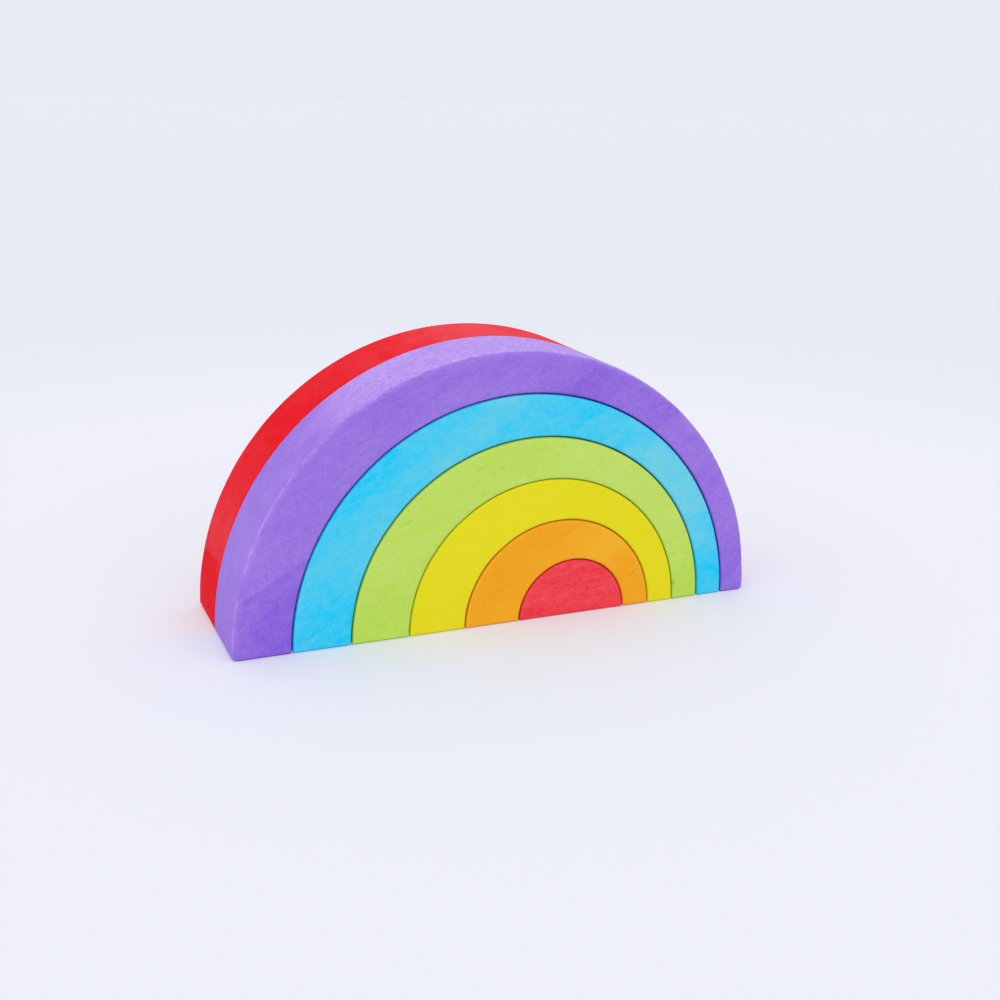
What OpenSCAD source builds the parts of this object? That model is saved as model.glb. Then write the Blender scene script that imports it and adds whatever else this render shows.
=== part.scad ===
// Rainbow stacker: two nests of stained wooden arches, each around a half-round core,
// standing one right behind the other. Every arch has a thick leg on the left and a thin one
// on the right, and every piece is loose.
// The origin is on the floor, midway between the two nests, under the middle of the outer arches.
// X runs along the width, Y from the front nest to the rear one, and Z up.

/* [Nest] */
// Radius of the half-round core in the middle of each nest
core_r = 26.25; // [20:0.25:40]
// Width of an arch's thick leg
thick_leg = 25.75; // [17:0.25:36]
// Width of an arch's thin leg
thin_leg = 12.75; // [9:0.25:17]
// Gap between a piece and the arch around it
nest_gap = 0.5; // [0.3:0.1:1.5]

/* [Depth] */
// Depth of every piece, from its front face to its back face
piece_depth = 35; // [20:1:60]
// Gap between the front nest and the rear one
nest_spacing = 0.4; // [0.3:0.1:5]

/* [Edges] */
// Radius that the edges of the faces are sanded to
edge_r = 1.5; // [0.5:0.25:3.5]
// Radius that the corners of the feet are sanded to
foot_r = 2; // [0.75:0.25:4]

/* [Hidden] */
$fn = 180;

// Stains
purple = "#9470dc";
blue = "#4dcbee";
green = "#bbdb64";
yellow = "#e2d828";
orange = "#eda528";
red = "#ea3c46";

// Number of arches around each core
arches = 5;
// Thickness of an arch at its top
crown = (thick_leg + thin_leg) / 2;
// How far the middle of an arch's hollow lies from the middle of its outside
hollow_shift = (thick_leg - thin_leg) / 2;
// Numbers of narrow flats that make up a sanded rim, standing edge and foot corner. The first two
// differ, so that where a rim comes down to the floor only three flats meet in one point.
rim_flats = 4;
standing_flats = 3;
corner_flats = 5;
// How far a cutter reaches past the face that it cuts
over = 1;

// Outer radius of a piece, and its middle along X. Rank 0 is the outermost arch, and the core
// comes after the last arch.
function outer_r(rank) = core_r + (arches - rank) * (crown + nest_gap);
function middle_x(rank) = rank * hollow_shift;

// Points along an arc, from one angle to another, as the ends of a number of flats
function arc(middle, r, from, to, flats) = [
    for (step = [0:flats])
        let (angle = from + (to - from) * step / flats)
        middle + r * [cos(angle), sin(angle)]
];

// The same points with the last flat made twice as long, so that it runs right through the round
// surface that it meets
function run_on(points) = [
    for (i = [0:len(points) - 1])
        i < len(points) - 1 ? points[i] : 2 * points[i] - points[i - 1]
];

// Turns what is drawn about Z until its axis runs backwards along Y
module about_depth() {
    rotate([-90, 0, 0]) children();
}

// Sweeps an outline in X and Z through the whole depth of a piece, and a little past both faces
module through_depth() {
    translate([0, piece_depth + over, 0])
        rotate([90, 0, 0])
            linear_extrude(piece_depth + 2 * over) children();
}

// Round block as deep as a piece, with both rims sanded
module round_block(r) {
    rim = r - edge_r;
    about_depth()
        rotate_extrude()
            polygon(concat(
                [[0, 0]],
                arc([rim, edge_r], edge_r, -90, 0, rim_flats),
                arc([rim, piece_depth - edge_r], edge_r, 0, 90, rim_flats),
                [[0, piece_depth]]
            ));
}

// Cutter for all of a round block that lies under the floor
module floor_cut(r) {
    side = r + over;
    translate([-side, -over, -side]) cube([2 * side, piece_depth + 2 * over, side]);
}

// Cutters that sand the front and back edges where a piece stands on the floor
module standing_edge_cuts(r) {
    side = r + over;
    for (turned = [0, 1])
        translate([0, turned * piece_depth, 0])
            mirror([0, turned, 0])
                translate([-side, 0, 0])
                    rotate([90, 0, 90])
                        linear_extrude(2 * side)
                            polygon(concat(
                                [[-over, edge_r]],
                                arc([edge_r, edge_r], edge_r, 180, 270, standing_flats),
                                [[edge_r, -over], [-over, -over]]
                            ));
}

// Cutters that sand the outer corners of a piece's feet
module outer_corner_cuts(r) {
    reach = r - foot_r;
    middle = [sqrt(reach * reach - foot_r * foot_r), foot_r];
    tangent = atan2(middle.y, middle.x);
    corner = run_on(arc(middle, foot_r, -90, tangent, corner_flats));
    for (turned = [0, 1])
        mirror([turned, 0, 0])
            through_depth()
                polygon(concat(
                    [[middle.x, -over]],
                    corner,
                    [[r + over, corner[corner_flats].y], [r + over, -over]]
                ));
}

// Cutter for an arch's hollow, flared at both ends to sand its rims
module hollow_cut(r) {
    mouth = r + edge_r;
    about_depth()
        rotate_extrude()
            polygon(concat(
                [[0, -over], [mouth, -over]],
                arc([mouth, edge_r], edge_r, 270, 180, rim_flats),
                arc([mouth, piece_depth - edge_r], edge_r, 180, 90, rim_flats),
                [[mouth, piece_depth + over], [0, piece_depth + over]]
            ));
}

// Cutters that sand the inner corners of an arch's feet
module inner_corner_cuts(r) {
    reach = r + foot_r;
    middle = [sqrt(reach * reach - foot_r * foot_r), foot_r];
    tangent = atan2(middle.y, middle.x);
    corner = run_on(arc(middle, foot_r, 270, 180 + tangent, corner_flats));
    for (turned = [0, 1])
        mirror([turned, 0, 0])
            through_depth()
                polygon(concat(
                    [[middle.x, -over]],
                    corner,
                    [[r - over, corner[corner_flats].y], [r - over, -over]]
                ));
}

// Half-round block that stands on the floor
module half_round(r) {
    difference() {
        round_block(r);
        floor_cut(r);
        standing_edge_cuts(r);
        outer_corner_cuts(r);
    }
}

// Arch of a given rank, with its front face at y = 0
module arch(rank) {
    hollow_r = outer_r(rank) - crown;
    translate([middle_x(rank), 0, 0])
        difference() {
            half_round(outer_r(rank));
            translate([hollow_shift, 0, 0]) {
                hollow_cut(hollow_r);
                inner_corner_cuts(hollow_r);
            }
        }
}

// Core of a nest, with its front face at y = 0
module core() {
    translate([middle_x(arches), 0, 0]) half_round(core_r);
}

// Place of the front nest
module in_front() {
    translate([0, -piece_depth - nest_spacing / 2, 0]) children();
}

// Place of the rear nest
module behind() {
    translate([0, nest_spacing / 2, 0]) children();
}

module front_purple_arch() {
    color(purple) in_front() arch(0);
}

module front_blue_arch() {
    color(blue) in_front() arch(1);
}

module front_green_arch() {
    color(green) in_front() arch(2);
}

module front_yellow_arch() {
    color(yellow) in_front() arch(3);
}

module front_orange_arch() {
    color(orange) in_front() arch(4);
}

module front_red_core() {
    color(red) in_front() core();
}

module rear_red_arch() {
    color(red) behind() arch(0);
}

module rear_orange_arch() {
    color(orange) behind() arch(1);
}

module rear_yellow_arch() {
    color(yellow) behind() arch(2);
}

module rear_green_arch() {
    color(green) behind() arch(3);
}

module rear_blue_arch() {
    color(blue) behind() arch(4);
}

module rear_purple_core() {
    color(purple) behind() core();
}

front_purple_arch();
front_blue_arch();
front_green_arch();
front_yellow_arch();
front_orange_arch();
front_red_core();
rear_red_arch();
rear_orange_arch();
rear_yellow_arch();
rear_green_arch();
rear_blue_arch();
rear_purple_core();
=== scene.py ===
"""Rainbow stacker: two nests of stained wooden arches and cores, and the studio that they stand in."""

import math
from typing import NamedTuple

import bmesh
import bpy
from mathutils import Matrix, Vector, noise


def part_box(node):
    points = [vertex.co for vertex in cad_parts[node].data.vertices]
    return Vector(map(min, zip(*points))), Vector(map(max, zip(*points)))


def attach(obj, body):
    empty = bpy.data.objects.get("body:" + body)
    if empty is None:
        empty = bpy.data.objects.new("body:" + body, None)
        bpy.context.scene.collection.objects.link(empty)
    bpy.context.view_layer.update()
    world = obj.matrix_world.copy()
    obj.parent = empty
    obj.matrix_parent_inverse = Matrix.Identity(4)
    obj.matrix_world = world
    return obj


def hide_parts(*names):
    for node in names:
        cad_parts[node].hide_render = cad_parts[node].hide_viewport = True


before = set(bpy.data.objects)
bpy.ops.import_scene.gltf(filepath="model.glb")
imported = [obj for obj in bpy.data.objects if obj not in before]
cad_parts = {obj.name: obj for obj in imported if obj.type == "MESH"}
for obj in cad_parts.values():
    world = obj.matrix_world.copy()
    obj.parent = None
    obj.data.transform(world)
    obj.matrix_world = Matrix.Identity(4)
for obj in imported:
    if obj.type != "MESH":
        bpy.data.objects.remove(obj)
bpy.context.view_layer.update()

bl_info = {
    "name": "Rainbow stacker",
    "version": (1, 0, 0),
    "blender": (4, 5, 0),
    "location": "View3D > Sidebar > Stacker",
    "description": "Builds the stained wooden pieces of a rainbow stacker and the studio around them",
    "category": "Add Mesh",
}

# Pieces of the two nests, from the outside in
FRONT_NEST = (
    "front_purple_arch", "front_blue_arch", "front_green_arch",
    "front_yellow_arch", "front_orange_arch", "front_red_core",
)
REAR_NEST = (
    "rear_red_arch", "rear_orange_arch", "rear_yellow_arch",
    "rear_green_arch", "rear_blue_arch", "rear_purple_core",
)
FRONT_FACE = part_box(FRONT_NEST[0])[0].y
OUTER_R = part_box(FRONT_NEST[0])[1].z


class Patch(NamedTuple):
    """A soft patch of a face: its middle, its reach along and across the grain, and how much paler it is."""

    x: float
    z: float
    along: float
    across: float
    paler: float


class Knot(NamedTuple):
    """A small dark place of a face: its middle, its reach along and across the grain, and how dark it is."""

    x: float
    z: float
    along: float
    across: float
    dark: float


class Cut(NamedTuple):
    """How a piece was cut and stained. Lengths are in metres, and paleness runs from 0 to 1."""

    grain: float = 29.0  # direction of the grain in the face, in degrees
    pattern: float = 0.0  # where in the wood the piece was cut
    base: float = 0.45  # how pale the stain is on the whole
    seam: float = 0.0813  # distance of one glue line from the origin, across the grain
    lean: float = 0.0  # slope of the glue lines through the depth
    tone: float = 0.0  # which staves took more stain
    turn: float = 1.57  # how far the tone turns from one stave to the next
    palest: float = 0.0  # the palest tone that a stave can have, from -1 to 1
    stave: float = 0.0  # how much the staves differ in paleness
    through: float = 1.0  # share of that difference that is left on the curved sides
    streak: float = 0.10  # how much the streaks of the grain differ in paleness
    blotch: float = 0.22  # the same for broad blotches
    mottle: float = 0.18  # the same for finer ones
    specks: float = 0.18  # the same for the finest ones
    marks: float = 0.06  # the same for sanding marks
    soak: float = 0.20  # how much deeper the end grain is
    rim: float = 0.15  # how much paler a rim is: partly worn, partly a painted highlight
    top: float = 0.25  # how much paler the upper side is: partly worn by rubbing, partly painted light from above
    side: float = 0.05  # how much paler the curved sides are than the faces
    flecks: float = 0.20  # how dark the open pores are
    patches: tuple = ()
    knots: tuple = ()


CUTS = {
    "front_purple_arch": Cut(
        base=0.265, stave=0.18, through=0.25, streak=0.08, blotch=0.12, mottle=0.08, specks=0.13, marks=0.05,
        soak=0.0, rim=0.32, top=0.42, side=0.09, flecks=0.16,
        patches=(Patch(-0.095, 0.012, 0.034, 0.026, -0.12),),
    ),
    "front_blue_arch": Cut(
        pattern=1.0, base=0.26, streak=0.16, blotch=0.26, mottle=0.20,
        patches=(
            Patch(0.080, 0.058, 0.030, 0.042, 0.54),
            Patch(-0.015, 0.094, 0.040, 0.012, 0.22),
            Patch(0.022, 0.096, 0.016, 0.012, 0.10),
            Patch(-0.050, 0.052, 0.030, 0.010, 0.14),
            Patch(-0.061, 0.074, 0.022, 0.010, -0.24),
            Patch(-0.036, 0.074, 0.018, 0.011, 0.16),
            Patch(-0.078, 0.012, 0.024, 0.022, -0.24),
            Patch(0.112, 0.017, 0.009, 0.010, -0.16),
        ),
    ),
    "front_green_arch": Cut(
        pattern=2.0, blotch=0.14, mottle=0.14, flecks=0.38,
        patches=(
            Patch(-0.060, 0.010, 0.030, 0.024, -0.12),
            Patch(0.092, 0.008, 0.016, 0.018, -0.12),
            Patch(0.060, 0.070, 0.040, 0.030, 0.05),
        ),
        knots=(
            Knot(0.0857, 0.0085, 0.0016, 0.0014, 0.36),
            Knot(-0.0466, 0.0534, 0.0032, 0.0006, 0.24),
            Knot(-0.0489, 0.0439, 0.0019, 0.0006, 0.20),
            Knot(-0.0470, 0.0584, 0.0010, 0.0007, 0.26),
            Knot(-0.0139, 0.0738, 0.0026, 0.0006, 0.22),
            Knot(-0.0034, 0.0736, 0.0019, 0.0006, 0.22),
        ),
    ),
    "front_yellow_arch": Cut(pattern=3.0, blotch=0.20, mottle=0.14, flecks=0.06),
    "front_orange_arch": Cut(
        pattern=4.0, base=0.47, blotch=0.26, mottle=0.16, rim=0.9, flecks=0.12,
        patches=(Patch(0.046, 0.030, 0.024, 0.018, 0.30),),
        knots=(Knot(0.0636, 0.0166, 0.0034, 0.0010, 0.17),),
    ),
    "front_red_core": Cut(
        grain=4.0, pattern=5.0, base=0.57, streak=0.34, blotch=0.14, mottle=0.13, specks=0.30, flecks=0.06,
    ),
    "rear_red_arch": Cut(
        grain=125.0, pattern=6.0, base=0.15, seam=0.0811, lean=-0.089, tone=-1.57, turn=1.24, stave=0.40,
        blotch=0.08, mottle=0.10, specks=0.10, marks=0.04, soak=0.12, top=0.10, side=0.0, flecks=0.06,
        patches=(
            Patch(-0.1104, 0.0587, 0.036, 0.036, 0.15),
            Patch(-0.1192, 0.0376, 0.017, 0.017, 0.21),
            Patch(0.011, 0.1245, 0.045, 0.045, 0.36),
        ),
    ),
    "rear_orange_arch": Cut(pattern=7.0, blotch=0.4),
    "rear_yellow_arch": Cut(pattern=8.0),
    "rear_green_arch": Cut(pattern=9.0, flecks=0.6),
    "rear_blue_arch": Cut(pattern=10.0, base=0.32, mottle=0.36, blotch=0.36),
    "rear_purple_core": Cut(grain=4.0, pattern=11.0, streak=0.20),
}
PLAIN_CUT = Cut()
STAVE_WIDTH = 0.0416  # width of the staves that the blanks were glued up from
STAVE_FADE = 0.012  # share of a stave's width over which its tone turns into the next one's


def linear(red, green, blue):
    """Scene colour of a display colour whose channels run from 0 to 255."""
    shares = [channel / 255 for channel in (red, green, blue)]
    return tuple(s / 12.92 if s <= 0.04045 else ((s + 0.055) / 1.055) ** 2.4 for s in shares)


def stain_property(name, red, green, blue):
    """Colour property of a stain, with a display colour as its default."""
    return bpy.props.FloatVectorProperty(
        name=name, description=f"Colour of the wood: {name.lower()}", subtype="COLOR",
        size=3, min=0.0, max=1.0, default=linear(red, green, blue),
    )


class StackerSizes(bpy.types.PropertyGroup):
    """Sizes of the hand finish and of the mesh; the main sizes come from the frame."""

    open_edge: bpy.props.FloatProperty(
        name="Open edge", description="Radius of the edges that lie open, on the outside of the nests",
        default=0.0024, min=0.0003, max=0.004, unit="LENGTH",
    )
    edge: bpy.props.FloatProperty(
        name="Sanded edge", description="Radius of the edges between the pieces of a nest",
        default=0.0012, min=0.0003, max=0.0035, unit="LENGTH",
    )
    close_edge: bpy.props.FloatProperty(
        name="Close edge", description="Radius of the outer edges where the two nests meet",
        default=0.0006, min=0.0003, max=0.0035, unit="LENGTH",
    )
    open_foot: bpy.props.FloatProperty(
        name="Open foot corner", description="Radius of the outer corners of the outermost feet",
        default=0.0024, min=0.0003, max=0.004, unit="LENGTH",
    )
    foot: bpy.props.FloatProperty(
        name="Foot corner", description="Radius of the other corners of the feet",
        default=0.001, min=0.0003, max=0.004, unit="LENGTH",
    )
    nest_gaps: bpy.props.FloatVectorProperty(
        name="Nest gaps", description="Gap that shows inside each arch of a nest, from the outside in",
        size=5, default=(0.0005, 0.00046, 0.00018, 0.00022, 0.0003), min=0.0, max=0.002, unit="LENGTH",
    )
    hand_play: bpy.props.FloatProperty(
        name="Hand play", description="How unevenly the edges were sanded by hand",
        default=0.28, min=0.0, max=0.6, subtype="FACTOR",
    )
    mesh_step: bpy.props.FloatProperty(
        name="Mesh step", description="Length of the mesh's faces along an arch",
        default=0.0025, min=0.001, max=0.01, unit="LENGTH",
    )


class StackerStains(bpy.types.PropertyGroup):
    """Two colours for each stain: where the wood drank much of it, and where it took little."""

    purple_deep: stain_property("Purple, deep", 132, 92, 208)
    purple_pale: stain_property("Purple, pale", 196, 164, 232)
    blue_deep: stain_property("Blue, deep", 29, 199, 238)
    blue_pale: stain_property("Blue, pale", 127, 208, 216)
    green_deep: stain_property("Green, deep", 174, 214, 54)
    green_pale: stain_property("Green, pale", 209, 225, 132)
    yellow_deep: stain_property("Yellow, deep", 224, 212, 26)
    yellow_pale: stain_property("Yellow, pale", 233, 222, 42)
    orange_deep: stain_property("Orange, deep", 238, 152, 18)
    orange_pale: stain_property("Orange, pale", 243, 181, 50)
    red_deep: stain_property("Red, deep", 230, 10, 26)
    red_pale: stain_property("Red, pale", 241, 90, 99)


class StackerStudio(bpy.types.PropertyGroup):
    """Camera, light and floor of the studio."""

    azimuth: bpy.props.FloatProperty(
        name="Azimuth", description="How far the camera stands round to the right of the front",
        default=math.radians(-23.12), subtype="ANGLE",
    )
    elevation: bpy.props.FloatProperty(
        name="Elevation", description="How far the camera looks down",
        default=math.radians(17.44), subtype="ANGLE",
    )
    roll: bpy.props.FloatProperty(
        name="Roll", description="Turn of the camera about its line of sight",
        default=math.radians(1.13), subtype="ANGLE",
    )
    distance: bpy.props.FloatProperty(
        name="Distance", description="From the camera to what it looks at",
        default=4.747 * OUTER_R, unit="LENGTH",
    )
    target: bpy.props.FloatVectorProperty(
        name="Target", description="Point that the camera looks at", subtype="XYZ", size=3,
        unit="LENGTH", default=(-0.0365 * OUTER_R, FRONT_FACE, 0.4713 * OUTER_R),
    )
    lens: bpy.props.FloatProperty(
        name="Lens", description="Focal length in millimetres on a 36 mm sensor",
        default=48.74, unit="CAMERA",
    )
    sky: bpy.props.FloatVectorProperty(
        name="Surroundings", description="Colour of the bright room all round", subtype="COLOR",
        size=3, default=linear(231, 234, 243),
    )
    # The near floor is lighter than the far floor: a painted pool of light round the pieces
    floor_near: bpy.props.FloatVectorProperty(
        name="Floor, near", description="Colour of the floor around the pieces", subtype="COLOR",
        size=3, default=(0.612, 0.609, 0.644),
    )
    floor_far: bpy.props.FloatVectorProperty(
        name="Floor, far", description="Colour of the floor far behind", subtype="COLOR",
        size=3, default=(0.567, 0.5755, 0.593),
    )
    floor_glow: bpy.props.FloatProperty(
        name="Floor glow", description="How much the floor shines by itself, as a lit table does",
        default=0.35, min=0.0, max=1.0, subtype="FACTOR",
    )
    top_light: bpy.props.FloatProperty(
        name="Top light", description="Strength of the wide soft light overhead", default=0.5,
    )
    front_light: bpy.props.FloatProperty(
        name="Front light", description="Strength of the wide soft light in front", default=0.6,
    )


# Shapes of the pieces

# Numbers of mesh faces across an eased rim, a flat face, a piece's depth and an eased foot corner
RIM_STEPS = 5
FACE_STEPS = 4
DEPTH_STEPS = 5
FOOT_STEPS = 5
SUPPORT = 0.0006  # distance of the rows that keep the flat faces flat beside an eased rim
MOST_SUPPORT = 0.2  # and the largest share of a side that this distance may take up
ABOVE_FOOT = 1.4  # level of an arch's first standing ring, in radii of its foot's corner
CAP_SHARES = (0.4, 0.7, 0.96)  # sizes of the rings that close a foot or a face

# Rims lie open, in the groove to the piece around or inside, or in the groove between the two nests
OPEN, AROUND, INSIDE, BETWEEN = range(4)
# Paleness of each kind of rim, step by step from the flat face to the curved one: above zero a paler rim,
# partly worn and partly a painted highlight; below zero a darker rim, partly gathered stain and partly
# painted shade in the groove between pieces
RIM_WEAR_AND_LIGHT = {
    OPEN: (0.25, 0.35, 0.45, 1.0, 0.1, 0.0),
    AROUND: (0.3, 0.5, 0.15, -0.4, -0.8, -1.0),
    INSIDE: (0.0, 0.0, -0.1, -0.4, -0.8, -1.0),
    BETWEEN: (0.0, 0.0, 0.0, 0.0, 0.0, 0.0),
}
STANDING_SHADE = 0.9  # how dark the painted contact shade is where a piece meets the floor
# Uneven sanding: waves per metre along a rim, how far apart the four rims lie in the noise, and its layer
HAND_WAVES = 60
HAND_RIMS = 7.3
HAND_LAYER = 1.7


def outer_curve(node):
    """Middle along X and radius of a piece's outer curve, as the frame has it."""
    low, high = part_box(node)
    return (low.x + high.x) / 2, high.z


def depth_range(node):
    """Where a piece's front and back faces lie along Y."""
    low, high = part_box(node)
    return low.y, high.y


def ray_length(start_x, middle_x, radius, angle):
    """Length of a ray from (start_x, 0) to the circle of that radius around (middle_x, 0)."""
    offset = start_x - middle_x
    along = offset * math.cos(angle)
    return math.sqrt(along * along - offset * offset + radius * radius) - along


def spread(count, length):
    """Inner points along a side as shares of its length, with one close to each end."""
    close = min(SUPPORT / length, MOST_SUPPORT)
    return [close + (1 - 2 * close) * i / count for i in range(count + 1)]


def standing_shade(level, sizes):
    """Painted contact shade on a standing edge, at a level above the floor."""
    return STANDING_SHADE * max(1 - level / sizes.foot, 0)


def eased(radius, level):
    """How far an eased corner of that radius draws a side in, at a level above the floor."""
    return radius - math.sqrt(radius ** 2 - max(radius - level, 0) ** 2)


def sanded(radius, play, place, rim):
    """Radius of an eased rim at a place along it: hands sand unevenly."""
    return radius * (1 + play * noise.noise(Vector((place * HAND_WAVES, rim * HAND_RIMS, HAND_LAYER))))


def section(inner, outer, front, back, radii, kinds):
    """Closed outline of an arch's section: (across, depth, rim amount) points, from the outer front rim on;
    above zero the rim amount is worn paleness with a painted highlight, below zero gathered stain with
    painted shade.

    radii and kinds are those of the outer front, outer back, inner back and inner front rim.
    """
    corners = ((outer, front, 1, 1), (outer, back, 1, -1), (inner, back, -1, -1), (inner, front, -1, 1))
    rims = []
    for turn, (across, depth, out, fore) in enumerate(corners):
        radius = radii[turn]
        rim = []
        for step in range(RIM_STEPS + 1):
            angle = math.radians(90 * (turn - 1) + 90 * step / RIM_STEPS)
            rim.append((
                across - out * radius + radius * math.cos(angle),
                depth + fore * radius + radius * math.sin(angle),
                RIM_WEAR_AND_LIGHT[kinds[turn]][RIM_STEPS - step if turn % 2 else step],
            ))
        rims.append(rim)
    outline = []
    for turn, rim in enumerate(rims):
        outline += rim
        start, end = Vector(rim[-1][:2]), Vector(rims[(turn + 1) % len(rims)][0][:2])
        steps = FACE_STEPS if turn % 2 else DEPTH_STEPS
        for share in spread(steps, (end - start).length):
            outline.append((*start.lerp(end, share), 0.0))
    return outline


class Skin:
    """A mesh grown ring by ring, with the rim amount of each point: worn paleness with painted highlights,
    gathered stain with painted shade.
    """

    def __init__(self):
        self.mesh = bmesh.new()
        self.wear_and_light = self.mesh.verts.layers.float.new("wear_and_light")
        self.last = None

    def ring(self, points):
        """Adds a closed ring of (place, rim amount) points and joins it to the ring before it; the rim amount
        holds worn paleness, painted highlights and painted shade.
        """
        ring = []
        for place, wear_and_light in points:
            vert = self.mesh.verts.new(place)
            vert[self.wear_and_light] = wear_and_light
            ring.append(vert)
        if self.last:
            for i in range(len(ring)):
                self.mesh.faces.new((self.last[i - 1], self.last[i], ring[i], ring[i - 1]))
        self.last = ring

    def close(self):
        """Fills the last ring."""
        self.mesh.faces.new(self.last)

    def to_object(self, name):
        """Ends the mesh and puts it into the scene as an object."""
        bmesh.ops.recalc_face_normals(self.mesh, faces=self.mesh.faces)
        data = bpy.data.meshes.new(name)
        self.mesh.to_mesh(data)
        self.mesh.free()
        data.shade_smooth()
        piece = bpy.data.objects.new(name, data)
        bpy.context.scene.collection.objects.link(piece)
        return piece


def drawn_in(points, share):
    """The same ring drawn in towards its middle, away from any rim."""
    middle = sum((place for place, _ in points), Vector()) / len(points)
    return [(middle + (place - middle) * share, 0.0) for place, _ in points]


def rim_kinds(nest, rank):
    """Kinds of an arch's outer front, outer back, inner back and inner front rim."""
    if rank:
        return AROUND, AROUND, INSIDE, INSIDE
    if nest == FRONT_NEST:
        return OPEN, BETWEEN, INSIDE, INSIDE
    return BETWEEN, OPEN, INSIDE, INSIDE


def build_arch(name, nest, rank, sizes):
    """Arch in the place of a CAD node, hollowed for the next node of its nest."""
    node = nest[rank]
    front, back = depth_range(node)
    middle, radius = outer_curve(node)
    hollow_middle, nested_radius = outer_curve(nest[rank + 1])
    hollow_radius = nested_radius + sizes.nest_gaps[rank]
    start = (middle + hollow_middle) / 2
    kinds = rim_kinds(nest, rank)
    own_edges = {OPEN: sizes.open_edge, BETWEEN: sizes.close_edge}
    edges = [own_edges.get(kind, sizes.edge) for kind in kinds]
    corner = sizes.foot if rank else sizes.open_foot

    def foot_ring(side, lift):
        """Level ring of a foot. lift is 0 on the floor and 1 where the eased corner ends."""
        level = corner * (1 - math.cos(math.pi / 2 * lift))
        inner = side * (hollow_middle - start) + math.sqrt(hollow_radius ** 2 - level ** 2)
        outer = side * (middle - start) + math.sqrt(radius ** 2 - level ** 2)
        deep = eased(sizes.edge, level)
        outline = section(
            inner + eased(sizes.foot, level), outer - eased(corner, level), front + deep, back - deep,
            [edge * (1 + lift) / 2 for edge in edges], kinds,
        )
        # stain here is painted contact shade along the standing edge, where the piece meets the floor
        stain = standing_shade(level, sizes)
        return [
            (Vector((start + side * across, y, level)), wear_and_light * lift - stain)
            for across, y, wear_and_light in outline
        ]

    def standing_ring(angle):
        """Ring across the arch, at an angle from its right foot."""
        direction = Vector((math.cos(angle), 0, math.sin(angle)))
        place = angle * radius + rank  # a metre further on for each rank, so that no two rims are alike
        radii = [sanded(edge, sizes.hand_play, place, rim) for rim, edge in enumerate(edges)]
        inner = ray_length(start, hollow_middle, hollow_radius, angle)
        outer = ray_length(start, middle, radius, angle)
        outline = section(inner, outer, front, back, radii, kinds)
        return [(Vector((start, y, 0)) + direction * across, wear_and_light) for across, y, wear_and_light in outline]

    first = math.asin(ABOVE_FOOT * corner / hollow_radius)
    count = math.ceil(math.pi * radius / sizes.mesh_step)
    skin = Skin()
    skin.ring(drawn_in(foot_ring(1, 0), CAP_SHARES[0]))
    skin.close()
    for share in CAP_SHARES[1:]:
        skin.ring(drawn_in(foot_ring(1, 0), share))
    for step in range(FOOT_STEPS + 1):
        skin.ring(foot_ring(1, step / FOOT_STEPS))
    for step in range(count + 1):
        skin.ring(standing_ring(first + (math.pi - 2 * first) * step / count))
    for step in range(FOOT_STEPS, -1, -1):
        skin.ring(foot_ring(-1, step / FOOT_STEPS))
    for share in reversed(CAP_SHARES):
        skin.ring(drawn_in(foot_ring(-1, 0), share))
    skin.close()
    return skin.to_object(name)


def half_round_outline(radius, level, corner, steps):
    """Outline of a half-round block: (x, z) points, up from the middle of its underside and round."""
    reach = math.sqrt((radius - corner) ** 2 - (level + corner) ** 2)
    tangent = math.atan2(level + corner, reach)
    right = [(reach * share, level) for share in spread(DEPTH_STEPS, reach)]
    for step in range(RIM_STEPS + 1):
        angle = -math.pi / 2 + (tangent + math.pi / 2) * step / RIM_STEPS
        right.append((reach + corner * math.cos(angle), level + corner * (1 + math.sin(angle))))
    for step in range(1, steps):
        angle = tangent + (math.pi / 2 - tangent) * step / steps
        right.append((radius * math.cos(angle), radius * math.sin(angle)))
    left = [(-x, z) for x, z in reversed(right)]
    return right + [(0.0, radius)] + left


def build_core(name, node, sizes):
    """Half-round core in the place of a CAD node."""
    front, back = depth_range(node)
    middle, radius = outer_curve(node)
    steps = math.ceil(math.pi * radius / sizes.mesh_step)

    def core_ring(depth, inset, wear_and_light, standing=0.0):
        """Ring at a depth, drawn in by inset. standing is the share of painted contact shade on its standing
        edge.
        """
        outline = half_round_outline(radius - inset, inset, sizes.foot - inset / 2, steps)
        ring = []
        for x, z in outline:
            rim = wear_and_light * min(z / sizes.foot, 1)
            # Rim paleness with its painted highlight and groove shade, less the painted contact shade where
            # the core meets the floor
            ring.append((Vector((middle + x, depth, z)), rim - standing * standing_shade(z, sizes)))
        return ring

    rims = []
    for step in range(RIM_STEPS + 1):
        angle = math.pi / 2 * (1 - step / RIM_STEPS)
        depth, inset = sizes.edge * (1 - math.sin(angle)), sizes.edge * (1 - math.cos(angle))
        rims.append((depth, inset, RIM_WEAR_AND_LIGHT[AROUND][step]))
    straight = back - front - 2 * sizes.edge
    skin = Skin()
    skin.ring(drawn_in(core_ring(front, sizes.edge, 0.0), CAP_SHARES[0]))
    skin.close()
    for share in CAP_SHARES[1:]:
        skin.ring(drawn_in(core_ring(front, sizes.edge, 0.0), share))
    for depth, inset, wear_and_light in rims:
        skin.ring(core_ring(front + depth, inset, wear_and_light, 1.0))
    for share in spread(DEPTH_STEPS, straight):
        skin.ring(core_ring(front + sizes.edge + straight * share, 0, 0.0))
    for depth, inset, wear_and_light in reversed(rims):
        skin.ring(core_ring(back - depth, inset, wear_and_light, 1.0))
    for share in reversed(CAP_SHARES):
        skin.ring(drawn_in(core_ring(back, sizes.edge, 0.0), share))
    skin.close()
    return skin.to_object(name)


# Shader nodes

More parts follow.
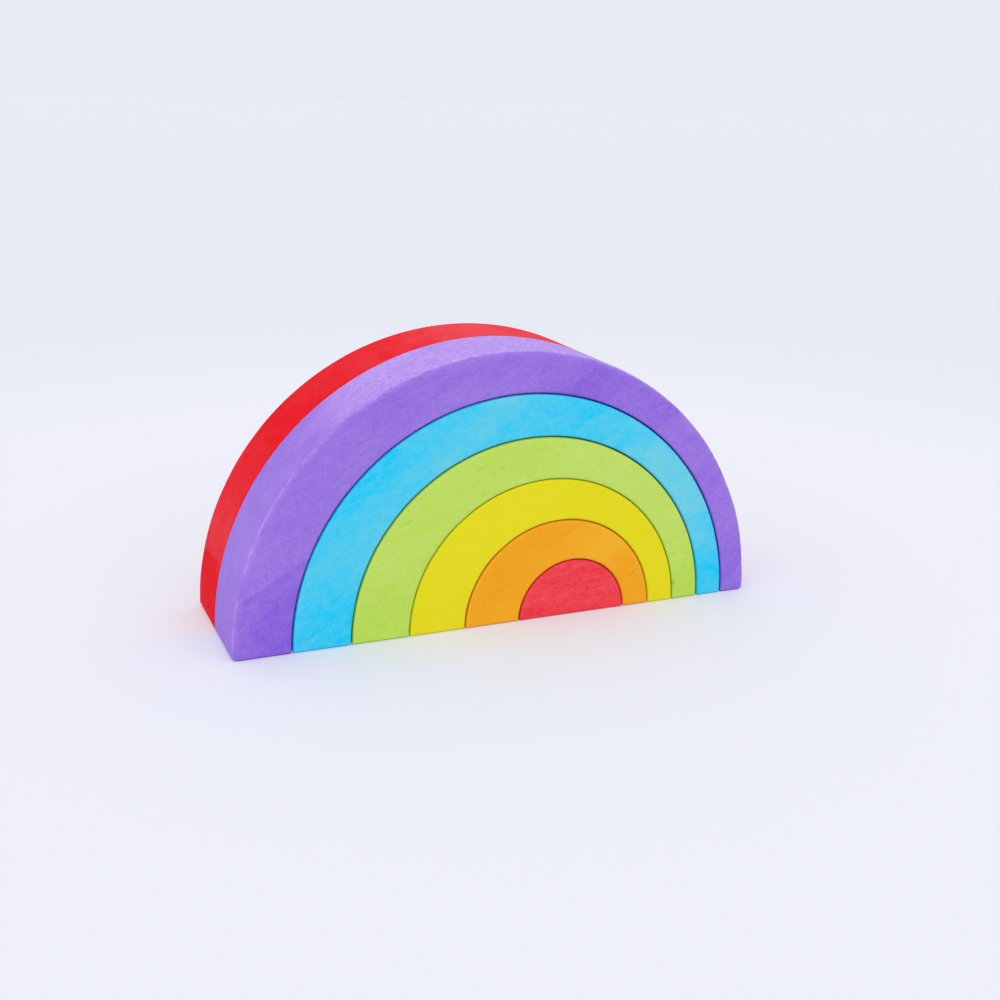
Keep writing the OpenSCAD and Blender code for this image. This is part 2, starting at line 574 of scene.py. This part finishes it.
MIX_FIRST, MIX_SECOND, MIX_RESULT = 6, 7, 2  # places of a Mix node's colour sockets
NOISE_LOW, NOISE_HIGH = 0.3, 0.7  # range that nearly all of a noise lies in
PATTERN_STEP = {"X": 0.71, "Y": 0.23, "Z": 0.37}  # how far apart in the wood two pieces were cut

# Scales of the patterns along, through and across the grain, in waves per metre
BROAD_STREAKS = (34, 110, 230)
FINE_STREAKS = (150, 700, 1000)
PORE_DASHES = (240, 1900, 2300)
PORE_FIELDS = (26, 44, 64)
BLOTCHES = (18, 22, 34)
MOTTLE = (240, 320, 340)
SPECKS = (800, 1000, 1000)
SPOT_OUTLINES = (90, 90, 160)
# The same along X, Y and Z
RIM_BREAKS = (120, 120, 120)
TOP_OUTLINES = (60, 60, 60)
RUBBED_AND_LIT_GRAIN = (420, 420, 700)
# The same in waves per radian around a piece, and per metre through its depth
SANDING_LINES = (5, 420, 1)

BROAD_SHARE = 0.6  # of the streaks; the fine ones make up the rest
PORE_DEPTH = 1.5  # of the pores, against the height of the streaks
# How ragged the outlines are, in radii of a spot and as a share of the way from steep to level
SPOT_RAGGED = 1.2
TOP_RAGGED = 0.3
# Where each effect sets in and where it is full
DASH_NOISE = (0.64, 0.76)
FIELD_NOISE = (0.46, 0.62)
STEEP_FACING = (0.6, 0.95)
TOP_FACING = (0.65, 0.95)
FLAT_FACING = (0.55, 0.95)
SPOT_FADE = (0.25, 1.15)  # in radii of the spot, where it starts to fade and where it ends
# Shares of the paler rims and of the paler upper sides, each partly worn and partly painted light, that are
# left where the pattern is faintest and where it is strongest
RIM_SHARES = (-0.2, 1.0)
RUBBED_AND_LIT_SHARES = (0.55, 1.45)

# Inputs that say where and how a piece lies in the wood
IN_WOOD = {"Grain Angle": math.radians(PLAIN_CUT.grain), "Pattern": PLAIN_CUT.pattern}


def put(tree, kind, settings=None, inputs=None):
    """Adds a node. Each input is a value, or a socket that is linked to it."""
    node = tree.nodes.new("ShaderNode" + kind)
    for key, value in (settings or {}).items():
        setattr(node, key, value)
    for key, value in (inputs or {}).items():
        socket = node.inputs[key]
        if isinstance(value, bpy.types.NodeSocket):
            tree.links.new(value, socket)
        else:
            socket.default_value = value
    return node


def reckon(tree, operation, *values):
    """Output of a Math node."""
    return put(tree, "Math", {"operation": operation}, dict(enumerate(values))).outputs[0]


def ramp(tree, value, low, high, to_low=0.0, to_high=1.0, smooth=True):
    """Value carried from one range to another, held at its ends."""
    return put(
        tree, "MapRange", {"interpolation_type": "SMOOTHSTEP" if smooth else "LINEAR"},
        {"Value": value, "From Min": low, "From Max": high, "To Min": to_low, "To Max": to_high},
    ).outputs["Result"]


def evened(tree, value, to_low=0.0, to_high=1.0):
    """Noise carried from the range that it lies in to another one."""
    return ramp(tree, value, NOISE_LOW, NOISE_HIGH, to_low, to_high)


def new_group(name, inputs, outputs):
    """Empty shader node group with float sockets, and its input and output nodes."""
    tree = bpy.data.node_groups.new(name, "ShaderNodeTree")
    for title, default in inputs.items():
        socket = tree.interface.new_socket(name=title, in_out="INPUT", socket_type="NodeSocketFloat")
        socket.default_value = default
    for title in outputs:
        tree.interface.new_socket(name=title, in_out="OUTPUT", socket_type="NodeSocketFloat")
    given = tree.nodes.new("NodeGroupInput").outputs
    result = tree.nodes.new("NodeGroupOutput").inputs
    return tree, given, result


def wood_space(tree, angle):
    """Place in the wood: X along the grain, Y through the depth and Z across the grain."""
    place = put(tree, "TexCoord").outputs["Object"]
    return put(
        tree, "VectorRotate", {"rotation_type": "Y_AXIS"}, {"Vector": place, "Angle": angle}
    ).outputs["Vector"]


def cut_from(tree, place, pattern):
    """Place moved to another part of the wood, so that no two pieces share a pattern."""
    shift = put(tree, "CombineXYZ", inputs={
        axis: reckon(tree, "MULTIPLY", pattern, step) for axis, step in PATTERN_STEP.items()
    }).outputs[0]
    return put(tree, "VectorMath", {"operation": "ADD"}, {0: place, 1: shift}).outputs[0]


def stretched_noise(tree, place, scale, detail, roughness=0.55):
    """Noise with a scale of its own along each axis."""
    scaled = put(tree, "VectorMath", {"operation": "MULTIPLY"}, {0: place, 1: scale}).outputs[0]
    return put(tree, "TexNoise", inputs={
        "Vector": scaled, "Scale": 1.0, "Detail": detail, "Roughness": roughness,
    }).outputs[0]


def wood_grain_group():
    """Streaks, open pores and end grain of the wood, and the height that goes with them."""
    tree, given, result = new_group("Wood Grain", IN_WOOD, ["Streaks", "Pores", "End Grain", "Height"])
    place = cut_from(tree, wood_space(tree, given["Grain Angle"]), given["Pattern"])
    broad = stretched_noise(tree, place, BROAD_STREAKS, 3)
    fine = stretched_noise(tree, place, FINE_STREAKS, 2)
    broad_part = reckon(tree, "MULTIPLY", broad, BROAD_SHARE)
    streaks = reckon(tree, "ADD", broad_part, reckon(tree, "MULTIPLY", fine, 1 - BROAD_SHARE))
    dashes = ramp(tree, stretched_noise(tree, place, PORE_DASHES, 1), *DASH_NOISE)
    fields = ramp(tree, stretched_noise(tree, place, PORE_FIELDS, 1), *FIELD_NOISE)
    pores = reckon(tree, "MULTIPLY", dashes, fields)
    normal = put(tree, "TexCoord").outputs["Normal"]
    facing = put(tree, "VectorRotate", {"rotation_type": "Y_AXIS"}, {
        "Vector": normal, "Angle": given["Grain Angle"],
    }).outputs["Vector"]
    along = put(tree, "SeparateXYZ", inputs={0: facing}).outputs["X"]
    tree.links.new(evened(tree, streaks), result["Streaks"])
    tree.links.new(pores, result["Pores"])
    tree.links.new(reckon(tree, "MULTIPLY", along, along), result["End Grain"])
    tree.links.new(reckon(tree, "MULTIPLY_ADD", pores, -PORE_DEPTH, streaks), result["Height"])
    return tree


def glued_staves_group():
    """Staves that the blank was glued up from: each of them took the stain in its own tone."""
    tree, given, result = new_group(
        "Glued Staves",
        {
            "Grain Angle": IN_WOOD["Grain Angle"], "Stave Width": STAVE_WIDTH, "Seam": PLAIN_CUT.seam,
            "Lean": PLAIN_CUT.lean, "Tone": PLAIN_CUT.tone, "Turn": PLAIN_CUT.turn,
            "Palest": PLAIN_CUT.palest,
        },
        ["Tone"],
    )
    parts = put(tree, "SeparateXYZ", inputs={0: wood_space(tree, given["Grain Angle"])}).outputs
    across = reckon(tree, "MULTIPLY_ADD", parts["Y"], given["Lean"], parts["Z"])
    count = reckon(tree, "DIVIDE", reckon(tree, "SUBTRACT", across, given["Seam"]), given["Stave Width"])
    stave = reckon(tree, "FLOOR", count)
    share = reckon(tree, "SUBTRACT", count, stave)
    step = ramp(tree, share, 1 - STAVE_FADE, 1.0)
    angle = reckon(tree, "MULTIPLY_ADD", stave, given["Turn"], given["Tone"])
    here = reckon(tree, "MINIMUM", reckon(tree, "SINE", angle), given["Palest"])
    above = reckon(tree, "SINE", reckon(tree, "ADD", angle, given["Turn"]))
    there = reckon(tree, "MINIMUM", above, given["Palest"])
    swing = reckon(tree, "MULTIPLY_ADD", reckon(tree, "SUBTRACT", there, here), step, here)
    tree.links.new(reckon(tree, "MULTIPLY_ADD", swing, 0.5, 0.5), result["Tone"])
    return tree


def stain_blotches_group():
    """Where the wood drank more or less of the stain: broad blotches, a finer mottle and specks."""
    tree, given, result = new_group("Stain Blotches", IN_WOOD, ["Blotch", "Mottle", "Specks"])
    place = cut_from(tree, wood_space(tree, given["Grain Angle"]), given["Pattern"])
    for title, scale, detail in (("Blotch", BLOTCHES, 2), ("Mottle", MOTTLE, 3), ("Specks", SPECKS, 2)):
        tree.links.new(evened(tree, stretched_noise(tree, place, scale, detail, 0.65)), result[title])
    return tree


def sanding_marks_group():
    """Marks that sanding left along the steep curved faces; the other faces stay at one half."""
    tree, given, result = new_group("Sanding Marks", {"Middle": 0.0, "Pattern": PLAIN_CUT.pattern}, ["Marks"])
    coordinates = put(tree, "TexCoord").outputs
    parts = put(tree, "SeparateXYZ", inputs={0: coordinates["Object"]}).outputs
    angle = reckon(tree, "ARCTAN2", parts["Z"], reckon(tree, "SUBTRACT", parts["X"], given["Middle"]))
    place = put(tree, "CombineXYZ", inputs={"X": angle, "Y": parts["Y"]}).outputs[0]
    lines = stretched_noise(tree, cut_from(tree, place, given["Pattern"]), SANDING_LINES, 3)
    facing = put(tree, "SeparateXYZ", inputs={0: coordinates["Normal"]}).outputs["X"]
    steep = ramp(tree, reckon(tree, "ABSOLUTE", facing), *STEEP_FACING)
    swing = reckon(tree, "SUBTRACT", evened(tree, lines), 0.5)
    tree.links.new(reckon(tree, "MULTIPLY_ADD", swing, steep, 0.5), result["Marks"])
    return tree


def soft_spot_group():
    """Soft oval spot through the depth of a piece: 1 in its middle and 0 outside."""
    tree, given, result = new_group(
        "Soft Spot",
        {**IN_WOOD, "Middle X": 0.0, "Middle Z": 0.0, "Along": 0.01, "Across": 0.01},
        ["Spot"],
    )
    middle = put(tree, "CombineXYZ", inputs={"X": given["Middle X"], "Z": given["Middle Z"]}).outputs[0]
    place = put(tree, "TexCoord").outputs["Object"]
    offset = put(tree, "VectorMath", {"operation": "SUBTRACT"}, {0: place, 1: middle}).outputs[0]
    turned = put(tree, "VectorRotate", {"rotation_type": "Y_AXIS"}, {
        "Vector": offset, "Angle": given["Grain Angle"],
    }).outputs["Vector"]
    parts = put(tree, "SeparateXYZ", inputs={0: turned}).outputs
    oval = put(tree, "CombineXYZ", inputs={
        "X": reckon(tree, "DIVIDE", parts["X"], given["Along"]),
        "Z": reckon(tree, "DIVIDE", parts["Z"], given["Across"]),
    }).outputs[0]
    far = put(tree, "VectorMath", {"operation": "LENGTH"}, {0: oval}).outputs["Value"]
    ragged = stretched_noise(tree, cut_from(tree, turned, given["Pattern"]), SPOT_OUTLINES, 4)
    swing = reckon(tree, "MULTIPLY_ADD", ragged, SPOT_RAGGED, -SPOT_RAGGED / 2)
    spot = ramp(tree, reckon(tree, "ADD", far, swing), *SPOT_FADE, 1.0, 0.0)
    tree.links.new(spot, result["Spot"])
    return tree


def wear_and_light_group():
    """Paler rims, partly worn and partly a painted highlight; darker rims, partly gathered stain and partly
    painted shade in the grooves and where a piece meets the floor; paler upper sides, partly worn by rubbing
    and partly painted light from above; and curved sides.
    """
    tree, given, result = new_group(
        "Wear And Light", {"Pattern": PLAIN_CUT.pattern}, ["Rim", "Gathered Stain And Shade", "Top", "Side"],
    )
    wear_and_light = put(tree, "Attribute", {"attribute_name": "wear_and_light"}).outputs["Fac"]
    coordinates = put(tree, "TexCoord").outputs
    place = cut_from(tree, coordinates["Object"], given["Pattern"])
    broken = evened(tree, stretched_noise(tree, place, RIM_BREAKS, 4, 0.65), *RIM_SHARES)
    facing = put(tree, "SeparateXYZ", inputs={0: coordinates["Normal"]}).outputs
    # Paler upper sides: partly worn by rubbing, partly painted light from above
    ragged = stretched_noise(tree, place, TOP_OUTLINES, 4, 0.6)
    swing = reckon(tree, "MULTIPLY_ADD", ragged, TOP_RAGGED, -TOP_RAGGED / 2)
    top = ramp(tree, reckon(tree, "ADD", facing["Z"], swing), *TOP_FACING)
    # Paler rims: partly worn, partly a painted highlight. Darker rims: partly gathered stain, partly painted
    # shade in the grooves and painted contact shade at the floor
    tree.links.new(reckon(tree, "MULTIPLY", ramp(tree, wear_and_light, 0.0, 1.0), broken), result["Rim"])
    tree.links.new(ramp(tree, wear_and_light, 0.0, -1.0, smooth=False), result["Gathered Stain And Shade"])
    # Noise that breaks up the paler upper sides, their rubbing and their painted light alike
    rubbed_and_lit = evened(tree, stretched_noise(tree, place, RUBBED_AND_LIT_GRAIN, 3, 0.7), *RUBBED_AND_LIT_SHARES)
    side = ramp(tree, reckon(tree, "ABSOLUTE", facing["Y"]), *FLAT_FACING, 1.0, 0.0)
    tree.links.new(reckon(tree, "MULTIPLY", top, rubbed_and_lit), result["Top"])
    tree.links.new(side, result["Side"])
    return tree


GROUP_MAKERS = {
    "Wood Grain": wood_grain_group,
    "Glued Staves": glued_staves_group,
    "Stain Blotches": stain_blotches_group,
    "Sanding Marks": sanding_marks_group,
    "Soft Spot": soft_spot_group,
    "Wear And Light": wear_and_light_group,
}


def place_group(tree, name, **values):
    """Places a shared group in a material with its own values, and returns its outputs."""
    group = bpy.data.node_groups.get(name) or GROUP_MAKERS[name]()
    node = tree.nodes.new("ShaderNodeGroup")
    node.node_tree = group
    for key, value in values.items():
        node.inputs[key.replace("_", " ").title()].default_value = value
    return node.outputs


def blend(tree, factor, first, second):
    """Colour between two colours."""
    return put(tree, "Mix", {"data_type": "RGBA"}, {
        "Factor": ramp(tree, factor, 0.0, 1.0, smooth=False), MIX_FIRST: first, MIX_SECOND: second,
    }).outputs[MIX_RESULT]


DARK_POWER, DARK_SHARE = 1.4, 0.42  # what makes the colour of pores and knots out of the deep stain
GATHERED_STAIN_AND_SHADE = 0.85  # how far the darker rims go towards a second coat of deep stain: partly gathered stain, partly painted shade in the grooves and at the floor
BUMP_STRENGTH = 0.14
BUMP_DEPTH = 0.0002
ROUGHNESS = (0.52, 0.66)  # from the deepest streaks to the palest ones
SHINE = 0.02  # next to none, as on stained wood without varnish


def stained_wood(name, deep, pale, cut, middle):
    """Material of one piece: a stain that the wood drank unevenly, over its grain."""
    material = bpy.data.materials.new(name)
    material.use_nodes = True
    tree = material.node_tree
    tree.nodes.clear()
    in_wood = {"grain_angle": math.radians(cut.grain), "pattern": cut.pattern}
    grain = place_group(tree, "Wood Grain", **in_wood)
    blotches = place_group(tree, "Stain Blotches", **in_wood)
    marks = place_group(tree, "Sanding Marks", middle=middle, pattern=cut.pattern)["Marks"]
    wear_and_light = place_group(tree, "Wear And Light", pattern=cut.pattern)

    paleness = cut.base
    # Paler rims and upper sides: partly worn, partly painted highlights and painted light from above
    for place, amount in (("Rim", cut.rim), ("Top", cut.top), ("Side", cut.side)):
        paleness = reckon(tree, "MULTIPLY_ADD", wear_and_light[place], amount, paleness)
    swings = [
        (grain["Streaks"], cut.streak), (blotches["Blotch"], cut.blotch), (blotches["Mottle"], cut.mottle),
        (blotches["Specks"], cut.specks), (marks, cut.marks),
    ]
    if cut.stave:
        staves = place_group(
            tree, "Glued Staves", grain_angle=math.radians(cut.grain), stave_width=STAVE_WIDTH,
            seam=cut.seam, lean=cut.lean, tone=cut.tone, turn=cut.turn, palest=cut.palest,
        )
        amount = ramp(tree, wear_and_light["Side"], 0.0, 1.0, cut.stave, cut.stave * cut.through)
        swings.append((staves["Tone"], amount))
    for value, amount in swings:
        paleness = reckon(tree, "MULTIPLY_ADD", reckon(tree, "SUBTRACT", value, 0.5), amount, paleness)
    paleness = reckon(tree, "MULTIPLY_ADD", grain["End Grain"], -cut.soak, paleness)
    for patch in cut.patches:
        spot = place_group(
            tree, "Soft Spot", middle_x=patch.x, middle_z=patch.z, along=patch.along, across=patch.across,
            **in_wood,
        )["Spot"]
        paleness = reckon(tree, "MULTIPLY_ADD", spot, patch.paler, paleness)
    # This stain colour already holds the painted highlights on rims and the painted light from above on upper
    # sides
    stain = blend(tree, paleness, (*deep, 1.0), (*pale, 1.0))

    shade = reckon(tree, "MULTIPLY", grain["Pores"], cut.flecks)
    for knot in cut.knots:
        spot = place_group(
            tree, "Soft Spot", middle_x=knot.x, middle_z=knot.z, along=knot.along, across=knot.across,
            **in_wood,
        )["Spot"]
        shade = reckon(tree, "MULTIPLY_ADD", spot, knot.dark, shade)
    darkest = tuple(channel ** DARK_POWER * DARK_SHARE for channel in deep)
    colour = blend(tree, shade, stain, (*darkest, 1.0))
    # Darker rims in a deeper copy of the stain: partly gathered stain, partly painted shade in the grooves
    # between pieces and painted contact shade where a piece meets the floor
    gathered_and_shade_colour = tuple(channel ** 2 for channel in deep)
    colour = blend(tree, reckon(tree, "MULTIPLY", wear_and_light["Gathered Stain And Shade"], GATHERED_STAIN_AND_SHADE), colour, (*gathered_and_shade_colour, 1.0))

    bump = put(tree, "Bump", inputs={
        "Strength": BUMP_STRENGTH, "Distance": BUMP_DEPTH, "Height": grain["Height"],
    })
    shader = put(tree, "BsdfPrincipled", inputs={
        "Base Color": colour,
        "Roughness": ramp(tree, grain["Streaks"], 0.0, 1.0, *ROUGHNESS, smooth=False),
        "Specular IOR Level": SHINE,
        "Normal": bump.outputs[0],
    })
    output = put(tree, "OutputMaterial")
    tree.links.new(shader.outputs[0], output.inputs["Surface"])
    return material


def stain_colour(node, depth):
    """Deep or pale colour of a piece's stain; the second word of a node's name is its colour."""
    return getattr(bpy.context.scene.stacker_stains, f"{node.split('_')[1]}_{depth}")


def dress(piece, node):
    """Stains a piece and lets it stand for its CAD node."""
    deep, pale = stain_colour(node, "deep"), stain_colour(node, "pale")
    middle, _ = outer_curve(node)
    piece.data.materials.append(stained_wood(f"{node}_stain", deep, pale, CUTS[node], middle))
    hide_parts(node)
    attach(piece, node)


def build_arches(nest):
    """Builds and dresses all arches of a nest; the last node of a nest is its core."""
    for rank, node in enumerate(nest[:-1]):
        dress(build_arch(f"{node}_wood", nest, rank, bpy.context.scene.stacker_sizes), node)


# Studio

FLOOR_R = 12.0
FLOOR_FADE = (0.30, 0.80)  # distances from the middle between which the floor fades from a painted pool of light round the pieces to its far colour
SOFT_LIGHT_WIDTH = math.radians(110)
OVERHEAD = (-0.12, -0.22, 1.0)  # directions that the lights shine from
IN_FRONT = (-0.35, -1.0, 0.6)
SENSOR_WIDTH = 36.0


def floor_material(studio):
    """Pale matte floor that glows a little, with a painted pool of light round the pieces that fades with
    distance.
    """
    material = bpy.data.materials.new("studio_floor")
    material.use_nodes = True
    tree = material.node_tree
    tree.nodes.clear()
    place = put(tree, "TexCoord").outputs["Object"]
    far = put(tree, "VectorMath", {"operation": "LENGTH"}, {0: place}).outputs["Value"]
    colour = put(tree, "Mix", {"data_type": "RGBA"}, {
        "Factor": ramp(tree, far, *FLOOR_FADE),
        MIX_FIRST: (*studio.floor_near, 1.0), MIX_SECOND: (*studio.floor_far, 1.0),
    }).outputs[MIX_RESULT]
    shader = put(tree, "BsdfPrincipled", inputs={
        "Base Color": colour, "Roughness": 0.9, "Specular IOR Level": 0.1,
        "Emission Color": colour, "Emission Strength": studio.floor_glow,
    })
    output = put(tree, "OutputMaterial")
    tree.links.new(shader.outputs[0], output.inputs["Surface"])
    return material


def build_floor(studio):
    """Round floor, level with the undersides of the pieces."""
    mesh = bmesh.new()
    bmesh.ops.create_circle(mesh, cap_ends=True, segments=128, radius=FLOOR_R)
    data = bpy.data.meshes.new("studio_floor")
    mesh.to_mesh(data)
    mesh.free()
    floor = bpy.data.objects.new("studio_floor", data)
    floor.data.materials.append(floor_material(studio))
    bpy.context.scene.collection.objects.link(floor)


def add_soft_light(name, towards, strength):
    """Far light as wide as a softbox close by, which shines from a direction."""
    data = bpy.data.lights.new(name, "SUN")
    data.angle = SOFT_LIGHT_WIDTH
    data.energy = strength
    light = bpy.data.objects.new(name, data)
    light.rotation_euler = Vector(towards).to_track_quat("Z", "Y").to_euler()
    bpy.context.scene.collection.objects.link(light)


def light_studio(studio):
    """Bright even surroundings, with one wide light overhead and one in front."""
    world = bpy.data.worlds.new("studio")
    world.use_nodes = True
    background = world.node_tree.nodes["Background"]
    background.inputs["Color"].default_value = (*studio.sky, 1.0)
    background.inputs["Strength"].default_value = 1.0
    bpy.context.scene.world = world
    add_soft_light("overhead", OVERHEAD, studio.top_light)
    add_soft_light("in_front", IN_FRONT, studio.front_light)


def place_camera(studio):
    """Camera at the photograph's viewing angle."""
    data = bpy.data.cameras.new("camera")
    data.sensor_width = SENSOR_WIDTH
    data.lens = studio.lens
    data.clip_start = 0.01
    data.clip_end = 100.0
    camera = bpy.data.objects.new("camera", data)
    turn, lift = studio.azimuth, studio.elevation
    back = Vector((math.sin(turn) * math.cos(lift), -math.cos(turn) * math.cos(lift), math.sin(lift)))
    facing = (-back).to_track_quat("-Z", "Y").to_matrix().to_4x4()
    rolled = facing @ Matrix.Rotation(studio.roll, 4, "Z")
    camera.matrix_world = Matrix.Translation(Vector(studio.target) + back * studio.distance) @ rolled
    bpy.context.scene.collection.objects.link(camera)
    bpy.context.scene.camera = camera


# Operators and panel

class STACKER_OT_stage(bpy.types.Operator):
    """Set up the floor, the light and the camera"""

    bl_idname = "stacker.stage"
    bl_label = "Studio"

    def execute(self, context):
        studio = context.scene.stacker_studio
        place_camera(studio)
        build_floor(studio)
        light_studio(studio)
        context.scene.view_settings.view_transform = "Standard"
        return {"FINISHED"}


class STACKER_OT_front_arches(bpy.types.Operator):
    """Build the arches of the front nest"""

    bl_idname = "stacker.front_arches"
    bl_label = "Front arches"

    def execute(self, context):
        build_arches(FRONT_NEST)
        return {"FINISHED"}


class STACKER_OT_rear_arches(bpy.types.Operator):
    """Build the arches of the rear nest"""

    bl_idname = "stacker.rear_arches"
    bl_label = "Rear arches"

    def execute(self, context):
        build_arches(REAR_NEST)
        return {"FINISHED"}


class STACKER_OT_cores(bpy.types.Operator):
    """Build the half-round core of each nest"""

    bl_idname = "stacker.cores"
    bl_label = "Cores"

    def execute(self, context):
        for nest in (FRONT_NEST, REAR_NEST):
            core = nest[-1]
            dress(build_core(f"{core}_wood", core, context.scene.stacker_sizes), core)
        return {"FINISHED"}


OPERATORS = (STACKER_OT_stage, STACKER_OT_front_arches, STACKER_OT_rear_arches, STACKER_OT_cores)


class STACKER_PT_panel(bpy.types.Panel):
    """Sizes, stains and studio of the rainbow stacker"""

    bl_idname = "STACKER_PT_panel"
    bl_label = "Rainbow stacker"
    bl_space_type = "VIEW_3D"
    bl_region_type = "UI"
    bl_category = "Stacker"

    def draw(self, context):
        for operator in OPERATORS:
            self.layout.operator(operator.bl_idname)
        scene = context.scene
        for group in (scene.stacker_sizes, scene.stacker_stains, scene.stacker_studio):
            box = self.layout.box()
            for key in group.__annotations__:
                box.prop(group, key)


GROUPS = {
    "stacker_sizes": StackerSizes,
    "stacker_stains": StackerStains,
    "stacker_studio": StackerStudio,
}
CLASSES = (*GROUPS.values(), *OPERATORS, STACKER_PT_panel)


def register():
    for cls in CLASSES:
        bpy.utils.register_class(cls)
    for name, group in GROUPS.items():
        setattr(bpy.types.Scene, name, bpy.props.PointerProperty(type=group))


def unregister():
    for name in GROUPS:
        delattr(bpy.types.Scene, name)
    for cls in reversed(CLASSES):
        bpy.utils.unregister_class(cls)


def main():
    register()
    bpy.ops.stacker.stage()
    bpy.ops.stacker.front_arches()
    bpy.ops.stacker.rear_arches()
    bpy.ops.stacker.cores()


if __name__ == "__main__":
    main()
